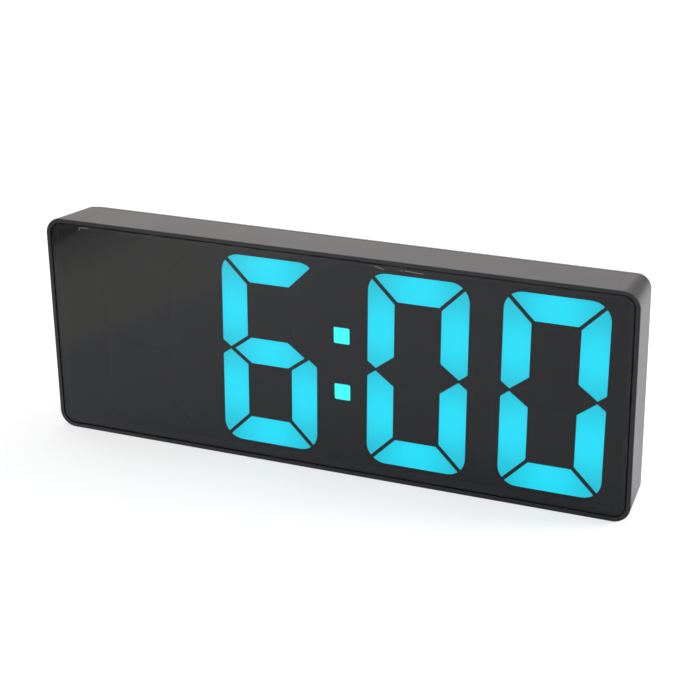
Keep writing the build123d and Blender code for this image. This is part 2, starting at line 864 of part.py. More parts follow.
with BuildPart() as back_cover:
    add(back_block(parting_depth, 0))
    add(case_outline(parting_depth, inner_inset))
    add(case_outline(cover_inside, inner_inset))
    loft(ruled=True, mode=Mode.SUBTRACT)
    # Lip that fits inside the housing
    with BuildPart(mode=Mode.PRIVATE) as lip:
        add(case_outline(lip_front, lip_inset))
        add(case_outline(parting_depth + lip_root, lip_inset))
        loft(ruled=True)
        add(case_outline(lip_front, inner_inset))
        add(case_outline(parting_depth + lip_root, inner_inset))
        loft(ruled=True, mode=Mode.SUBTRACT)
        boss_space = rounds(lip_front, case_bosses, boss_r + boss_clearance)
        extrude(boss_space, amount=-lip_length, mode=Mode.SUBTRACT)
    add(lip.part)
    # Battery bay, with rails under the door's edges
    bay_outside = span(
        floor_front,
        bay_outer_end - bay_wall,
        bay_inner_end + bay_wall,
        bay_z - bay_wall_half,
        bay_z + bay_wall_half,
    )
    extrude(bay_outside, amount=floor_front - cover_inside)
    rails = span(
        cover_inside - rail_depth,
        bay_outer_end - bay_wall,
        bay_inner_end + bay_wall + rail_width,
        bay_z - rail_half,
        bay_z + rail_half,
    )
    extrude(rails, amount=-rail_depth)
    end_block = span(
        lip_front,
        housing_lean + inner_inset - case_width / 2 - lip_thickness / 2,
        bay_outer_end,
        bay_z - bay_wall_half,
        bay_z + bay_wall_half,
    )
    extrude(end_block, amount=-lip_length)
    bay_inside = span(
        floor_back, bay_outer_end, bay_inner_end, bay_z - bay_half_height, bay_z + bay_half_height
    )
    extrude(bay_inside, amount=floor_back - case_depth, mode=Mode.SUBTRACT)
    # Opening for the door, and the groove for its tongues, both open at the end of the case
    opening = span(bay_top, past_end, opening_end, bay_z - opening_half, bay_z + opening_half)
    extrude(opening, amount=bay_top - case_depth - overrun, mode=Mode.SUBTRACT)
    groove_slot = span(bay_top, past_end, groove_end, bay_z - groove_half, bay_z + groove_half)
    slot_height = 2 * door_gap + tongue_thickness
    extrude(groove_slot, amount=-slot_height, mode=Mode.SUBTRACT)
    end_opening = span(
        parting_depth,
        past_end,
        bay_outer_end - bay_wall,
        bay_z - opening_half,
        bay_z + opening_half,
    )
    extrude(end_opening, amount=parting_depth - case_depth - overrun, mode=Mode.SUBTRACT)
    # Screw sleeves that meet the housing's bosses, and bosses for the main board
    sleeves = rounds(parting_depth, case_bosses, screw_head_r + boss_clearance + bay_wall)
    extrude(sleeves, amount=parting_depth - cover_inside)
    extrude(
        rounds(main_board_back, main_bosses, main_boss_r), amount=main_board_back - cover_inside
    )
    head_wells = rounds(case_depth, case_bosses, screw_head_r + boss_clearance)
    extrude(head_wells, amount=case_depth - case_screw_seat, mode=Mode.SUBTRACT)
    shank_holes = rounds(case_screw_seat, case_bosses, screw_r + boss_clearance / 2)
    extrude(shank_holes, amount=case_screw_seat - parting_depth, mode=Mode.SUBTRACT)
    main_pilots = rounds(main_board_back, main_bosses, screw_r + screw_fit)
    pilot_depth = main_screw_length - board_thickness + boss_clearance
    extrude(main_pilots, amount=-pilot_depth, mode=Mode.SUBTRACT)
    # Shallow well round the buttons, button holes, inlet and sound holes
    row_start, row_z = button_places[0]
    row_end = button_places[-1][0]
    row_height = 2 * (button_r + button_well_margin)
    with BuildSketch(at_depth(case_depth)):
        with Locations(((row_start + row_end) / 2, row_z)):
            SlotOverall(row_end - row_start + row_height, row_height)
    extrude(amount=button_well, mode=Mode.SUBTRACT)
    button_holes = rounds(case_depth, button_places, button_r + button_gap)
    extrude(button_holes, amount=wall, mode=Mode.SUBTRACT)
    with BuildSketch(at_depth(case_depth)):
        with Locations(*inlet_place):
            inlet_hole = inlet_side + 2 * inlet_gap
            RectangleRounded(inlet_hole, inlet_hole, inlet_corner_r + inlet_gap)
    extrude(amount=wall, mode=Mode.SUBTRACT)
    with BuildSketch(at_depth(case_depth)):
        with Locations(board_places["buzzer"]):
            Circle(sound_hole_r)
            with PolarLocations(sound_ring_r, sound_holes):
                Circle(sound_hole_r)
    extrude(amount=wall, mode=Mode.SUBTRACT)
    # Slots for the tails of the two end contacts
    tail_front = main_board_back - tail_gap
    tail_back = tail_front + tail_width + 2 * tail_gap
    low_tail = span(
        tail_front,
        bay_outer_end,
        bay_outer_end + contact_thickness + tail_gap,
        bay_z - bay_wall_half - tail_gap,
        bay_z - bay_half_height,
    )
    extrude(low_tail, amount=tail_front - tail_back, mode=Mode.SUBTRACT)
    end_tail = span(
        tail_front,
        bay_inner_end,
        bay_inner_end + bay_wall,
        cell_places[-1] - tail_width / 2 - tail_gap,
        cell_places[-1] + tail_width / 2 + tail_gap,
    )
    extrude(end_tail, amount=-contact_thickness - 2 * tail_gap, mode=Mode.SUBTRACT)
back_cover.part.label = "back_cover"
export_step(back_cover.part, "parts/back_cover.step")

case_screws = screws(case_bosses, case_screw_seat, case_screw_length)
case_screws.label = "case_screws"
export_step(case_screws, "parts/case_screws.step")

# Sliding battery door: a plate with its own rounded end, tongues on three sides and grip lines
door_left = past_end
door_right = opening_end - door_gap
with BuildPart() as battery_door:
    add(back_block(parting_depth + door_gap, 0))
    door_outline = span(0, door_left, door_right, bay_z - door_half, bay_z + door_half)
    extrude(door_outline, amount=-case_depth, mode=Mode.INTERSECT)
    add(back_block(parting_depth, door_thickness), mode=Mode.SUBTRACT)
    tongues = span(
        door_inside,
        bay_outer_end,
        door_right + tongue_width,
        bay_z - tongue_half,
        bay_z + tongue_half,
    )
    extrude(tongues, amount=-tongue_thickness)
    grip_middle = bay_outer_end + grip_inset
    with BuildSketch(at_depth(case_depth)):
        with Locations((grip_middle, bay_z)):
            with GridLocations(grip_pitch, 0, grip_lines, 1):
                SlotOverall(grip_length, grip_width, rotation=90)
    extrude(amount=grip_cut, mode=Mode.SUBTRACT)
battery_door.part.label = "battery_door"
export_step(battery_door.part, "parts/battery_door.step")

# Three cells, turned end for end in a row, so that they are in series
with BuildPart() as aaa_cells:
    for i, z in enumerate(cell_places):
        nub_way = 1 if i % 2 == 0 else -1
        if nub_way > 0:
            nub_tip = bay_inner_end - contact_thickness
        else:
            nub_tip = bay_outer_end + contact_thickness
        can_length = cell_length - cell_nub_length
        with BuildSketch(Plane.YZ.offset(nub_tip - nub_way * cell_nub_length)):
            with Locations((cell_depth - front_offset, z)):
                Circle(cell_r)
        extrude(amount=-nub_way * can_length)
    chamfer(aaa_cells.edges().filter_by(GeomType.CIRCLE), length=cell_edge)
    for i, z in enumerate(cell_places):
        nub_way = 1 if i % 2 == 0 else -1
        if nub_way > 0:
            nub_tip = bay_inner_end - contact_thickness
        else:
            nub_tip = bay_outer_end + contact_thickness
        with BuildSketch(Plane.YZ.offset(nub_tip)):
            with Locations((cell_depth - front_offset, z)):
                Circle(cell_nub_r)
        extrude(amount=-nub_way * 2 * cell_nub_length)
aaa_cells.part.label = "aaa_cells"
export_step(aaa_cells.part, "parts/aaa_cells.step")

# Battery contacts: plates on the bay's ends, with a bowed leaf wherever a cell's flat end presses
contact_front = cell_depth - contact_width / 2


def contact(wall_x, inward, plate_cells, leaf_cells):
    """A plate at wall_x whose leaves bow inward against the flat ends of leaf_cells."""
    reach = inward * contact_thickness
    low = min(plate_cells) - contact_half_length
    high = max(plate_cells) + contact_half_length
    left, right = min(wall_x, wall_x + reach), max(wall_x, wall_x + reach)
    with BuildPart() as plate:
        extrude(span(contact_front, left, right, low, high), amount=-contact_width)
        for z in leaf_cells:
            root = wall_x + reach
            crest = root + inward * leaf_rise
            free = root + inward * leaf_free_gap
            with BuildSketch(at_depth(contact_front)):
                with BuildLine():
                    outer = ThreePointArc(
                        (root, z - leaf_half_length), (crest, z), (free + reach, z + leaf_half_length)
                    )
                    inner = ThreePointArc(
                        (root - reach, z - leaf_half_length),
                        (crest - reach, z),
                        (free, z + leaf_half_length),
                    )
                    Line(outer @ 0, inner @ 0)
                    Line(outer @ 1, inner @ 1)
                make_face()
            extrude(amount=-contact_width)
    return plate.part


low_cell, mid_cell, high_cell = cell_places
outer_link = contact(bay_outer_end, 1, [mid_cell, high_cell], [high_cell])
outer_link.label = "outer_link_contact"
export_step(outer_link, "parts/outer_link_contact.step")

inner_link = contact(bay_inner_end, -1, [low_cell, mid_cell], [mid_cell])
inner_link.label = "inner_link_contact"
export_step(inner_link, "parts/inner_link_contact.step")

tail_low_z = bay_z - bay_wall_half - tail_length
with BuildPart() as negative_contact:
    add(contact(bay_outer_end, 1, [low_cell], [low_cell]))
    tail = span(
        main_board_back, bay_outer_end, bay_outer_end + contact_thickness, tail_low_z, low_cell
    )
    extrude(tail, amount=-tail_width)
negative_contact.part.label = "negative_contact"
export_step(negative_contact.part, "parts/negative_contact.step")

tail_end_x = bay_inner_end + bay_wall + tail_length
with BuildPart() as positive_contact:
    add(contact(bay_inner_end, -1, [high_cell], []))
    tail = span(
        main_board_back,
        bay_inner_end - contact_thickness,
        tail_end_x,
        high_cell - tail_width / 2,
        high_cell + tail_width / 2,
    )
    extrude(tail, amount=-contact_thickness)
positive_contact.part.label = "positive_contact"
export_step(positive_contact.part, "parts/positive_contact.step")

# Leads from the two tails to the main board
lead_depth = main_board_back + lead_r + lead_lift
lead_turn_x = main_board_left - lead_beside_board
lead_end_x = main_board_left + lead_on_board
leads = {
    "negative": (
        bay_outer_end + contact_thickness,
        tail_low_z + lead_r + lead_lift,
        main_board_low_z + lead_low_share * main_board_tall,
    ),
    "positive": (tail_end_x, high_cell, main_board_low_z + lead_high_share * main_board_tall),
}
for pole, (start_x, start_z, end_z) in leads.items():
    with BuildPart() as lead:
        with BuildLine() as route:
            FilletPolyline(
                spot(start_x, lead_depth, start_z),
                spot(lead_turn_x, lead_depth, start_z),
                spot(lead_turn_x, lead_depth, end_z),
                spot(lead_end_x, lead_depth, end_z),
                radius=lead_bend_r,
            )
        with BuildSketch(Plane(origin=route.line @ 0, z_dir=route.line % 0)):
            Circle(lead_r)
        sweep()
    lead.part.label = f"{pole}_lead"
    export_step(lead.part, f"parts/{pole}_lead.step")
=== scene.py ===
import bmesh
import bpy
from math import cos, pi, radians, sin, tan
from mathutils import Matrix, Vector


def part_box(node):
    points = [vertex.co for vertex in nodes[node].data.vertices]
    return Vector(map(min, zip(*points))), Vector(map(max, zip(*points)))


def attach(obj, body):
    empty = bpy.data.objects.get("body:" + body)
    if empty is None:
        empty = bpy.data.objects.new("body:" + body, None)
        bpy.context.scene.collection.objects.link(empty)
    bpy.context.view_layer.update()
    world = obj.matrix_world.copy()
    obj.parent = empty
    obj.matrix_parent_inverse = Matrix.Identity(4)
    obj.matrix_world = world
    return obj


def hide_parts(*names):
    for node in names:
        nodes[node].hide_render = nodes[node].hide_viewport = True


# A desk clock's finishes, its dark panel sheet, and the floor, light and camera of its picture.
# Metres. X runs left to right seen from the front, Y from the front to the back, Z up.

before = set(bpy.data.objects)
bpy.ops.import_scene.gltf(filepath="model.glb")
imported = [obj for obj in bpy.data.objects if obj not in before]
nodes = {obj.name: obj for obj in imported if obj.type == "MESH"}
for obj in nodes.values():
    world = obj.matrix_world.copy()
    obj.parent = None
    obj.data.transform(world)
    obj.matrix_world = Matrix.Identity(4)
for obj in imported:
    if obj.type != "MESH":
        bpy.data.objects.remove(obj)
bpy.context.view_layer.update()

# Panel sheet: it fills the panel's place but for a fine gap in front of the printed film
panel_low, panel_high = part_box("front_panel")
film_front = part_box("digit_mask")[0].y
FILM_GAP = 0.0001
PANEL_FRONT = panel_low.y
PANEL_BACK = film_front - FILM_GAP
PANEL_MIDDLE = (PANEL_FRONT + PANEL_BACK) / 2
PANEL_HALF_WIDTH = (panel_high.x - panel_low.x) / 2
PANEL_HALF_HEIGHT = (panel_high.z - panel_low.z) / 2
PANEL_CORNER_R = 0.0031
PANEL_BEVEL = 0.00012
CORNER_STEPS = 16

# Digits: how far the lamps stand from a digit's middle, and how far their light reaches
SEGMENT_DIGITS = ("hour_units", "minute_tens", "minute_units")
DISPLAY_Z = (panel_low.z + panel_high.z) / 2
SLANT = tan(radians(1.0))
LAMP_ACROSS = 0.0097
LAMP_UP = 0.02228
LAMP_CORE = 0.001
LAMP_REACH = 0.0135

# Moulded plastic: noise per metre and depths
TONE_SCALE = 45.0
GRAIN_SCALE = 2600.0
GRAIN_DEPTH = 0.00006
CASE_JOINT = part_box("front_housing")[1].y
JOINT_HALF_WIDTH = 0.0002
JOINT_EDGE = 0.0004
JOINT_DEPTH = 0.0002

# Light scratches along the panel's top edge: the X and Z of their two ends
SCRATCHES = (
    (-0.0697, 0.0581, -0.0671, 0.0583),
    (-0.0698, 0.0581, -0.0699, 0.0573),
    (-0.0491, 0.0584, -0.0489, 0.0583),
    (0.0136, 0.0581, 0.0159, 0.0575),
    (0.0204, 0.0577, 0.0208, 0.0577),
    (0.0215, 0.0578, 0.0263, 0.0576),
)
SCRATCH_CORE = 0.00004
SCRATCH_EDGE = 0.00013
SCRATCH_FADE = 0.0002
DUST_EDGE = 0.00003

# Light guides and circuit boards: noise, waves or cells per metre, and the tracks' height
MILK_SCALE = 700.0
WEAVE_SCALE = 5200.0
LANE_SCALE = 240.0
PAD_SCALE = 330.0
TRACK_DEPTH = 0.00004

# Cells: where their middle row is, which lies the other way round, and the lie of their wrap
CELL_ROW_Z = sum(corner.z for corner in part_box("aaa_cells")) / 2
CELL_ROW_HALF = 0.0055
WRAP_MIDDLE_X = -0.0482
WRAP_HALF_LENGTH = 0.0219
WRAP_BAND_FROM = 0.0125

# Floor: lifted a little near the clock and to white far off, and the painted reflection that the
# clock's gloss shows of it: a lighter zone at the left, a darker fall-off to its right and a dark
# spot
FLOOR_HALF = 6.0
GREY_TO = 0.3
WHITE_FROM = 1.2
SEEN_LIFT = 0.68
MIRRORED_LIFT = 0.85
FRONT_EDGE = 0.01
# Painted reflection: the lighter zone in front of the clock at the left, its edge, lean and softness
PAINTED_LIGHT_EDGE_X = -0.125
PAINTED_LIGHT_LEAN = 0.29
PAINTED_LIGHT_EDGE = (-0.002, 0.003)
# Painted reflection: the darker fall-off to the right of the lighter zone
PAINTED_FALLOFF_START = 0.62
PAINTED_FALLOFF_PER_METRE = 4.5
# Painted reflection: a dark spot that the panel's top left corner mirrors, darkest left of its edge
PAINTED_SPOT_PLACE = (-0.172, -0.155)
PAINTED_SPOT_STRETCH = (1.25, 0.7)
PAINTED_SPOT_REACH = 0.06
PAINTED_SPOT_SHADE = 0.42
PAINTED_SPOT_EDGE = (-0.1655, -0.1605)
PAINTED_SPOT_EDGE_SHADE = 0.1

# Room: its two darker parts, as directions from the clock, with how near to them the dark begins
# and is full, as the cosine of the angle
DARK_CORNER = (0.42, 0.87, 0.25)
DARK_CORNER_EDGE = (0.76, 0.95)
DARK_CEILING = (-0.37, -0.37, 0.85)
DARK_CEILING_EDGE = (0.60, 0.90)

# Camera: its lens, its place, and the directions that are right, down and ahead in the picture
LENS = 93.688
SENSOR_WIDTH = 36.0
CLIP_START = 0.01
EYE = (0.16804, -0.38801, 0.20320)
VIEW_RIGHT = (0.919278, 0.393357, -0.014107)
VIEW_DOWN = (0.135217, -0.349254, -0.927221)
VIEW_AHEAD = (-0.369655, 0.850466, -0.374250)


# Shader maths
class Reading:
    """A number or vector that changes over the surface. Arithmetic on it adds Math nodes."""

    def __init__(self, maker, socket):
        self.maker = maker
        self.socket = socket

    def math(self, operation, *values):
        settings = {"operation": operation}
        return self.maker.node("ShaderNodeMath", settings, dict(enumerate(values)))

    def __add__(self, other):
        return self.math("ADD", self, other)

    def __radd__(self, other):
        return self.math("ADD", other, self)

    def __sub__(self, other):
        return self.math("SUBTRACT", self, other)

    def __rsub__(self, other):
        return self.math("SUBTRACT", other, self)

    def __mul__(self, other):
        return self.math("MULTIPLY", self, other)

    def __rmul__(self, other):
        return self.math("MULTIPLY", other, self)

    def __abs__(self):
        return self.math("ABSOLUTE", self)

    def wave(self):
        return self.math("SINE", self)

    def squared(self):
        return self.math("POWER", self, 2.0)

    def root(self):
        return self.math("POWER", self, 0.5)

    def over(self, edge):
        """1 where the reading is above the edge, else 0."""
        return self.math("GREATER_THAN", self, edge)

    def least(self, other):
        return self.math("MINIMUM", self, other)

    def most(self, other):
        return self.math("MAXIMUM", self, other)

    def ramp(self, low, high, start=0.0, end=1.0):
        """Goes smoothly from start to end as the reading goes from low to high."""
        settings = {"interpolation_type": "SMOOTHSTEP"}
        levels = {"Value": self, "From Min": low, "From Max": high, "To Min": start, "To Max": end}
        return self.maker.node("ShaderNodeMapRange", settings, levels)


def distance(across, up):
    """The length of a line that goes so far across and so far up."""
    return (across.squared() + up.squared()).root()


class Nodes:
    """Adds nodes to a node tree."""

    def __init__(self, tree):
        self.tree = tree

    def plug(self, socket, value):
        if isinstance(value, Reading):
            self.tree.links.new(value.socket, socket)
        elif isinstance(value, tuple) and len(value) == 3 and socket.type == "RGBA":
            socket.default_value = (*value, 1.0)
        else:
            socket.default_value = value

    def node(self, kind, settings, sockets, output=0):
        """Adds a node: its settings first, then its sockets' values or links. Returns one output."""
        node = self.tree.nodes.new(kind)
        for name, value in settings.items():
            setattr(node, name, value)
        for name, value in sockets.items():
            self.plug(node.inputs[name], value)
        return Reading(self, node.outputs[output])

    def blend(self, share, first, second):
        """A colour between two colours."""
        settings = {"data_type": "RGBA", "clamp_factor": True}
        return self.node("ShaderNodeMix", settings, {0: share, 6: first, 7: second}, 2)

    def ray(self, kind):
        """1 for rays of one kind, such as Camera."""
        return self.node("ShaderNodeLightPath", {}, {}, f"Is {kind} Ray")

    def mirrored(self):
        """1 for rays that see the surroundings in a gloss or through a clear sheet."""
        return self.ray("Glossy").most(self.ray("Transmission"))

    def shine_out(self, share, first, second, output):
        """Sends a mix of two shaders to the tree's output node."""
        mix = self.node("ShaderNodeMixShader", {}, {0: share, 1: first, 2: second})
        self.tree.links.new(mix.socket, self.tree.nodes[output].inputs["Surface"])


class Finish(Nodes):
    """A surface finish: a Principled shader, and the nodes that drive it."""

    def __init__(self, name, **look):
        self.material = bpy.data.materials.new(name)
        self.material.use_nodes = True
        super().__init__(self.material.node_tree)
        self.shader = self.tree.nodes["Principled BSDF"]
        self.look(**look)

    def look(self, **look):
        """Sets or links the shader's sockets: base_color becomes Base Color."""
        names = {socket.name.lower(): socket for socket in self.shader.inputs}
        for name, value in look.items():
            self.plug(names[name.replace("_", " ")], value)
        return self

    def place(self):
        """The point on the clock, in metres, which stays with a piece that moves."""
        return self.node("ShaderNodeTexCoord", {}, {}, "Object")

    def axes(self):
        """The point's X, Y and Z."""
        split = self.node("ShaderNodeSeparateXYZ", {}, {"Vector": self.place()}).socket.node
        return [Reading(self, split.outputs[name]) for name in "XYZ"]

    def noise(self, per_metre, detail=2.0, roughness=0.5):
        sockets = {"Vector": self.place(), "Scale": per_metre}
        sockets |= {"Detail": detail, "Roughness": roughness}
        return self.node("ShaderNodeTexNoise", {}, sockets, "Fac")

    def cells(self, per_metre):
        """How far the point is from the nearest of many scattered middles, in cells."""
        sockets = {"Vector": self.place(), "Scale": per_metre}
        return self.node("ShaderNodeTexVoronoi", {}, sockets, "Distance")

    def bump(self, height, metres, strength=1.0):
        sockets = {"Strength": strength, "Distance": metres, "Height": height}
        return self.node("ShaderNodeBump", {}, sockets)


def dress(finish, *names):
    """Puts a finish on CAD nodes."""
    for name in names:
        for slot in nodes[name].material_slots:
            slot.material = finish.material


# Plastics
def moulded(name, colour, roughness, grain=0.5, shift=0.25, ior=1.5, joint=None):
    """Moulded plastic: a spark-eroded grain, a slow shift of tone and a slightly uneven sheen.

    The joint is the Y of the fine groove where two mouldings meet.
    """
    finish = Finish(name, ior=ior)
    slow = finish.noise(TONE_SCALE)
    fine = finish.noise(GRAIN_SCALE, roughness=0.6)
    deep = tuple(c * (1 - shift) for c in colour)
    light = tuple(min(c * (1 + shift), 1.0) for c in colour)
    height = fine * (GRAIN_DEPTH * grain)
    sheen = roughness - 0.06 + slow * 0.08 + fine * 0.04
    if joint is not None:
        flush = abs(finish.axes()[1] - joint).ramp(JOINT_HALF_WIDTH, JOINT_EDGE)
        height = height + flush * JOINT_DEPTH
        sheen = sheen + (1 - flush) * 0.6
    return finish.look(
        base_color=finish.blend(slow * 0.7 + fine * 0.3, deep, light),
        roughness=sheen,
        normal=finish.bump(height, 1.0),
    )


def foam_tape():
    """Thin black foam, open at its cut edges."""
    finish = Finish("foam_tape", roughness=0.9)
    pores = finish.cells(4200.0)
    return finish.look(
        base_color=finish.blend(pores, (0.006, 0.006, 0.006), (0.03, 0.03, 0.03)),
        normal=finish.bump(pores, 0.00008, 0.8),
    )


def black_film():
    """Printed film: flat black with a fine screen-print tooth."""
    finish = Finish("black_film", specular_ior_level=0.2)
    tooth = finish.noise(GRAIN_SCALE, 1.0)
    return finish.look(
        base_color=finish.blend(tooth, (0.003, 0.003, 0.003), (0.006, 0.006, 0.007)),
        roughness=0.66 + tooth * 0.08,
    )


# Dark panel
def scratch(finish, start_x, start_z, end_x, end_z):
    """1 on a straight fine scratch in the panel's face, else 0."""
    x, _, z = finish.axes()
    run = Vector((end_x - start_x, end_z - start_z))
    aim = run.normalized()
    half = run.length / 2
    beside = abs((x - start_x) * aim.y - (z - start_z) * aim.x)
    along = abs((x - start_x) * aim.x + (z - start_z) * aim.y - half)
    line = beside.ramp(SCRATCH_CORE, SCRATCH_EDGE, 1.0, 0.0)
    return line * along.ramp(half, half + SCRATCH_FADE, 1.0, 0.0)


def tinted_panel():
    """Dark see-through sheet: polished, with a little dust, and scratched along its top edge."""
    finish = Finish("tinted_panel", ior=1.6, specular_ior_level=1.0)
    _, y, z = finish.axes()
    front_half = 1 - y.over(PANEL_MIDDLE)
    specks = 1 - finish.cells(420.0).ramp(0.02, 0.05)
    marks = specks * finish.noise(160.0, 1.0).ramp(0.62, 0.66) * 0.3
    for ends in SCRATCHES:
        marks = marks.most(scratch(finish, *ends) * 0.42)
    top_edge = DISPLAY_Z + PANEL_HALF_HEIGHT - PANEL_BEVEL
    on_bevel = z.ramp(top_edge, top_edge + DUST_EDGE)
    marks = marks.most(on_bevel * finish.noise(300.0).ramp(0.35, 0.7) * 0.15)
    haze = finish.noise(9.0, 1.0) * 0.006
    return finish.look(
        base_color=finish.blend(marks, (0.004, 0.004, 0.005), (0.85, 0.82, 0.78)),
        roughness=0.02 + haze + marks * 0.4,
        alpha=front_half * (0.5 + marks * 0.4),
    )


# Light guides
def digit_middle(digit):
    """The X of a digit's middle, between its outer segments, lit or dark."""
    boxes = [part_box(f"{digit}_{state}_segments") for state in ("lit", "dark")]
    return (min(low.x for low, _ in boxes) + max(high.x for _, high in boxes)) / 2


def lit_segments(name, middle_x):
    """Milky light guides: brightest over the lamp behind the middle of each segment."""
    finish = Finish(name, roughness=0.5, specular_ior_level=0.2, emission_strength=1.9)
    x, _, z = finish.axes()
    up = abs(z - DISPLAY_Z)
    across = abs(x - middle_x - (z - DISPLAY_Z) * SLANT)
    to_lamp = distance(across, up)
    to_lamp = to_lamp.least(distance(across, up - LAMP_UP))
    to_lamp = to_lamp.least(distance(across - LAMP_ACROSS, up - LAMP_UP / 2))
    glow = to_lamp.ramp(LAMP_CORE, LAMP_REACH, 1.0, 0.0)
    milk = finish.noise(MILK_SCALE)
    return finish.look(
        base_color=finish.blend(milk, (0.002, 0.05, 0.07), (0.004, 0.07, 0.09)),
        emission_color=finish.blend(glow, (0.0, 0.52, 0.67), (0.0, 0.73, 0.95)),
    )


def colon_light():
    """The two dots: an even, slightly greener light."""
    finish = Finish("colon_light", roughness=0.45, emission_strength=2.0)
    milk = finish.noise(MILK_SCALE)
    return finish.look(
        base_color=finish.blend(milk, (0.01, 0.12, 0.13), (0.015, 0.14, 0.15)),
        emission_color=finish.blend(milk, (0.025, 0.93, 0.92), (0.035, 0.97, 0.95)),
    )


def dark_segments():
    """Light guides with no light in them. Their milky plastic is painted nearly as dark as the film
    round them: painted shade for the unlit inside of the case.
    """
    finish = Finish("dark_segments", roughness=0.65, specular_ior_level=0.2)
    milk = finish.noise(MILK_SCALE)
    return finish.look(base_color=finish.blend(milk, (0.003, 0.003, 0.004), (0.006, 0.006, 0.007)))


# Boards, metals and cells
def laminate():
    """Circuit board: green lacquer over copper tracks, with bare tinned pads."""
    finish = Finish("laminate")
    x, _, z = finish.axes()
    weave = (x * WEAVE_SCALE).wave() * (z * WEAVE_SCALE).wave()
    paths = finish.noise(LANE_SCALE, 0.0)
    lanes = paths.ramp(0.47, 0.50) * paths.ramp(0.56, 0.53)
    pads = 1 - finish.cells(PAD_SCALE).ramp(0.10, 0.13)
    pads = pads * finish.noise(90.0, 1.0).ramp(0.55, 0.58)
    green = finish.blend(lanes, (0.010, 0.085, 0.040), (0.020, 0.17, 0.075))
    return finish.look(
        base_color=finish.blend(pads, green, (0.62, 0.62, 0.60)),
        metallic=pads * 0.9,
        roughness=0.34 + weave * 0.02,
        normal=finish.bump(lanes + pads, TRACK_DEPTH, 0.7),
    )


def metal(name, colour, roughness, streaks=900.0):
    """Plated or drawn metal: fine streaks along X and a slightly dull, uneven tone."""
    finish = Finish(name, metallic=1.0)
    x, y, z = finish.axes()
    drawn = finish.node("ShaderNodeCombineXYZ", {}, {"X": x * 0.1, "Y": y, "Z": z})
    streak = finish.node("ShaderNodeTexNoise", {}, {"Vector": drawn, "Scale": streaks}, "Fac")
    dull = finish.noise(160.0, 3.0)
    deep = tuple(c * 0.78 for c in colour)
    return finish.look(
        base_color=finish.blend(dull * 0.6 + streak * 0.4, deep, colour),
        roughness=roughness + dull * 0.12 + streak * 0.06,
        normal=finish.bump(streak, 0.00002, 0.3),
    )


def cell_wrap():
    """Plain battery wrap: dark body, a grey band by the plus end, bare metal past the wrap."""
    finish = Finish("cell_wrap")
    x, _, z = finish.axes()
    fine = finish.noise(900.0)
    outer_row = abs(z - CELL_ROW_Z).over(CELL_ROW_HALF)
    along = (x - WRAP_MIDDLE_X) * (outer_row * 2.0 - 1.0)
    band = along.over(WRAP_BAND_FROM)
    bare = abs(x - WRAP_MIDDLE_X).over(WRAP_HALF_LENGTH)
    wrap = finish.blend(band, (0.035, 0.04, 0.05), (0.36, 0.37, 0.38))
    return finish.look(
        base_color=finish.blend(bare, wrap, (0.70, 0.70, 0.70)),
        metallic=bare * 0.95 + band * (1 - bare) * 0.5,
        roughness=0.30 + fine * 0.08,
    )


# Dressing the case and its keys
keys = ("mode", "up", "down", "alarm")
case_black = (0.0125, 0.0115, 0.012)
case_plastic = moulded("case_plastic", case_black, 0.34, 0.3, ior=1.6, joint=CASE_JOINT)
button_plastic = moulded("button_plastic", (0.026, 0.026, 0.028), 0.5, 0.3)
plunger_plastic = moulded("plunger_plastic", (0.06, 0.06, 0.065), 0.4, 0.2)
dress(case_plastic, "front_housing", "back_cover", "battery_door")
dress(button_plastic, *(f"{key}_button" for key in keys))
dress(plunger_plastic, *(f"{key}_plunger" for key in keys))

# Dressing the display
dress(foam_tape(), "panel_tape")
dress(black_film(), "digit_mask")
dress(moulded("reflector_plastic", (0.80, 0.81, 0.80), 0.45, 0.3, 0.04), "reflector_block")
for digit in SEGMENT_DIGITS:
    dress(lit_segments(f"{digit}_light", digit_middle(digit)), f"{digit}_lit_segments")
dress(dark_segments(), *(f"{digit}_dark_segments" for digit in ("hour_tens", *SEGMENT_DIGITS)))
dress(colon_light(), "colon_dots")
dress(moulded("lamp_body", (0.78, 0.74, 0.42), 0.3, 0.2, 0.12), "segment_leds", "colon_leds")

# Dressing the boards, the screws and the battery bay
dress(laminate(), "display_board", "main_board")
component_plastic = moulded("component_plastic", (0.022, 0.022, 0.022), 0.5, 0.4)
dress(component_plastic, "header_strip", "buzzer", "power_socket", "tact_switches")
dress(component_plastic, "controller_chip")
zinc_plate = metal("zinc_plate", (0.58, 0.58, 0.60), 0.32)
dress(zinc_plate, "display_screws", "main_board_screws", "case_screws")
dress(metal("gold_plate", (0.86, 0.66, 0.30), 0.25), "header_pins")
nickel_plate = metal("nickel_plate", (0.74, 0.71, 0.66), 0.28)
dress(nickel_plate, "outer_link_contact", "inner_link_contact", "socket_pin")
dress(nickel_plate, "negative_contact", "positive_contact")
dress(metal("bright_can", (0.80, 0.80, 0.82), 0.3, 400.0), "clock_crystal", "filter_capacitor")
dress(moulded("red_insulation", (0.42, 0.02, 0.015), 0.45, 0.2), "positive_lead")
dress(moulded("black_insulation", (0.02, 0.02, 0.02), 0.45, 0.2), "negative_lead")
dress(cell_wrap(), "aaa_cells")


# Panel sheet
def panel_outline(inset):
    """The panel's rounded outline, drawn in by an inset, as X and Z."""
    reach_x = PANEL_HALF_WIDTH - PANEL_CORNER_R
    reach_z = PANEL_HALF_HEIGHT - PANEL_CORNER_R
    corners = ((reach_x, reach_z), (-reach_x, reach_z), (-reach_x, -reach_z), (reach_x, -reach_z))
    radius = PANEL_CORNER_R - inset
    points = []
    for quarter, (x, z) in enumerate(corners):
        for step in range(CORNER_STEPS + 1):
            turned = (quarter + step / CORNER_STEPS) * pi / 2
            points.append((x + radius * cos(turned), DISPLAY_Z + z + radius * sin(turned)))
    return points


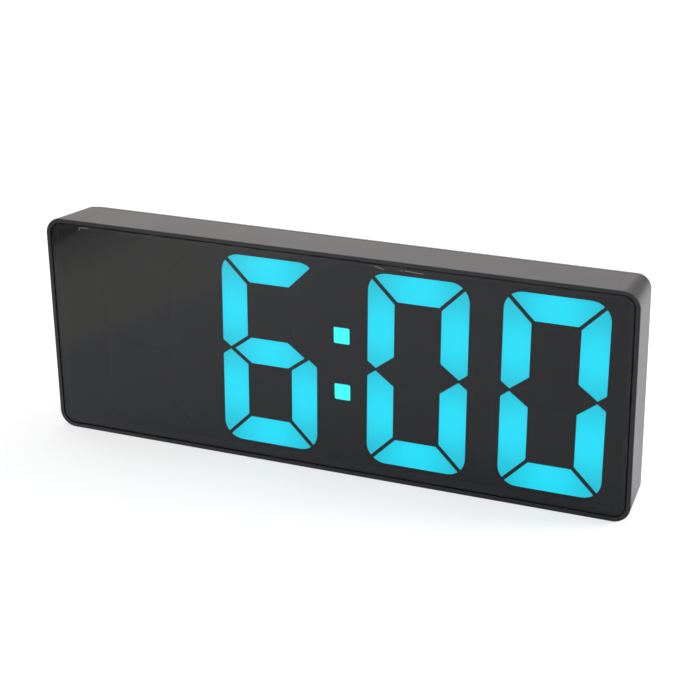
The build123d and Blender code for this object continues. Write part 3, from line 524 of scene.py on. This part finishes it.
def panel_sheet():
    """The dark sheet, with a fine bevel round its front, held just clear of the film behind it."""
    shape = bmesh.new()
    layers = ((PANEL_BEVEL, PANEL_FRONT), (0.0, PANEL_FRONT + PANEL_BEVEL), (0.0, PANEL_BACK))
    rings = [[shape.verts.new((x, y, z)) for x, z in panel_outline(inset)] for inset, y in layers]
    shape.faces.new(rings[0])
    shape.faces.new(reversed(rings[-1]))
    for outer, inner in zip(rings, rings[1:]):
        for i, corner in enumerate(outer):
            shape.faces.new((outer[i - 1], inner[i - 1], inner[i], corner))
    bmesh.ops.recalc_face_normals(shape, faces=shape.faces)
    mesh = bpy.data.meshes.new("panel_sheet")
    shape.to_mesh(mesh)
    shape.free()
    mesh.materials.append(tinted_panel().material)
    sheet = bpy.data.objects.new("panel_sheet", mesh)
    bpy.context.scene.collection.objects.link(sheet)
    return sheet


sheet = panel_sheet()
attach(sheet, "case")
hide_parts("front_panel")


# Floor
def painted_floor_reflection(finish):
    """The floor's colour in the clock's gloss: a painted reflection, not the floor's own colour.

    In front of the clock a painted lighter zone lies at the left, with a painted dark spot where the
    panel's top left corner mirrors it. To its right the painted reflection falls off darker. Behind
    the clock it is pale all over.
    """
    x, y, _ = finish.axes()
    fall = PAINTED_FALLOFF_START - x * PAINTED_FALLOFF_PER_METRE
    painted_falloff = finish.blend(fall, (0.12, 0.12, 0.13), (0.57, 0.58, 0.63))
    in_painted_light = (PAINTED_LIGHT_EDGE_X - y * PAINTED_LIGHT_LEAN - x).ramp(*PAINTED_LIGHT_EDGE)
    front = finish.blend(in_painted_light, painted_falloff, (0.71, 0.70, 0.665))
    across = (x - PAINTED_SPOT_PLACE[0]) * PAINTED_SPOT_STRETCH[0]
    away = (y - PAINTED_SPOT_PLACE[1]) * PAINTED_SPOT_STRETCH[1]
    painted_spot = distance(across, away).ramp(0.0, PAINTED_SPOT_REACH, PAINTED_SPOT_SHADE, 1.0)
    painted_spot = painted_spot * x.ramp(*PAINTED_SPOT_EDGE, PAINTED_SPOT_EDGE_SHADE, 1.0)
    front = finish.blend(painted_spot, (0.03, 0.022, 0.018), front)
    in_front = (0 - y).ramp(-FRONT_EDGE, FRONT_EDGE)
    return finish.blend(in_front, (1.0, 0.975, 1.0), front)


def pale_floor():
    """Pale matt floor, lifted to white where it is seen, which keeps the clock's soft shadow. In the
    clock's gloss it shows mostly a painted reflection.
    """
    finish = Finish("pale_floor", base_color=(0.86, 0.86, 0.86), roughness=0.9)
    finish.look(specular_ior_level=0.1)
    x, y, _ = finish.axes()
    seen = finish.ray("Camera")
    colour = finish.blend(seen, painted_floor_reflection(finish), (1.0, 1.0, 1.0))
    seen_lift = seen * distance(x, y).ramp(GREY_TO, WHITE_FROM, SEEN_LIFT, 1.0)
    lift = seen_lift.most(finish.mirrored() * MIRRORED_LIFT)
    light = finish.node("ShaderNodeEmission", {}, {"Color": colour, "Strength": 1.0})
    matt = Reading(finish, finish.shader.outputs[0])
    finish.shine_out(lift, matt, light, "Material Output")
    return finish


def ground():
    """The wide flat floor that the clock stands on."""
    sides = ((-1, -1), (1, -1), (1, 1), (-1, 1))
    mesh = bpy.data.meshes.new("floor")
    mesh.from_pydata([(x * FLOOR_HALF, y * FLOOR_HALF, 0.0) for x, y in sides], [], [(0, 1, 2, 3)])
    mesh.materials.append(pale_floor().material)
    floor = bpy.data.objects.new("floor", mesh)
    bpy.context.scene.collection.objects.link(floor)
    return floor


ground()


# Room and lamps
def studio_surroundings():
    """White room, darker in the clock's gloss towards the back right and above the front."""
    world = bpy.data.worlds.new("studio")
    bpy.context.scene.world = world
    world.use_nodes = True
    room = Nodes(world.node_tree)
    towards = room.node("ShaderNodeTexCoord", {}, {}, "Generated")

    def near(aim, edge):
        """1 for directions close to an aim, going smoothly to 0 away from it."""
        product = {"operation": "DOT_PRODUCT"}
        sockets = {0: towards, 1: aim}
        return room.node("ShaderNodeVectorMath", product, sockets, "Value").ramp(*edge)

    in_corner = near(DARK_CORNER, DARK_CORNER_EDGE)
    in_ceiling = near(DARK_CEILING, DARK_CEILING_EDGE)
    gloss = room.blend(in_corner, (0.91, 0.86, 0.86), (0.40, 0.37, 0.40))
    gloss = room.blend(in_ceiling, gloss, (0.22, 0.21, 0.22))
    seen = room.ray("Camera")
    colour = room.blend(seen, gloss, (1.0, 1.0, 1.0))
    bright = room.node("ShaderNodeBackground", {}, {"Color": colour, "Strength": 1.0})
    soft = {"Color": (0.95, 0.97, 1.0), "Strength": 0.55}
    dim = room.node("ShaderNodeBackground", {}, soft)
    room.shine_out(seen.most(room.mirrored()), dim, bright, "World Output")


def softbox(name, place, target, width, height, watts):
    """A soft rectangular lamp that faces a target."""
    lamp = bpy.data.lights.new(name, "AREA")
    lamp.shape = "RECTANGLE"
    lamp.size = width
    lamp.size_y = height
    lamp.energy = watts
    body = bpy.data.objects.new(name, lamp)
    body.location = place
    facing = Vector(target) - Vector(place)
    body.rotation_euler = facing.to_track_quat("-Z", "Y").to_euler()
    bpy.context.scene.collection.objects.link(body)
    return body


studio_surroundings()
softbox(
    "overhead",
    place=(-0.15, 0.25, 1.3),
    target=(0.0, 0.0, DISPLAY_Z),
    width=1.2,
    height=0.9,
    watts=16.0,
)
right_fill = softbox(
    "right_fill",
    place=(1.2, 0.7, 0.45),
    target=(0.05, 0.0, DISPLAY_Z),
    width=0.9,
    height=0.6,
    watts=50.0,
)
right_fill.visible_glossy = False


# Camera
def photo_camera():
    """The camera, at the photograph's viewing angle and distance."""
    camera = bpy.data.cameras.new("camera")
    camera.lens = LENS
    camera.sensor_width = SENSOR_WIDTH
    camera.clip_start = CLIP_START
    eye = bpy.data.objects.new("camera", camera)
    turn = Matrix((VIEW_RIGHT, -Vector(VIEW_DOWN), -Vector(VIEW_AHEAD))).transposed().to_4x4()
    eye.matrix_world = Matrix.Translation(EYE) @ turn
    bpy.context.scene.collection.objects.link(eye)
    return eye


bpy.context.scene.camera = photo_camera()
bpy.context.scene.view_settings.view_transform = "Standard"
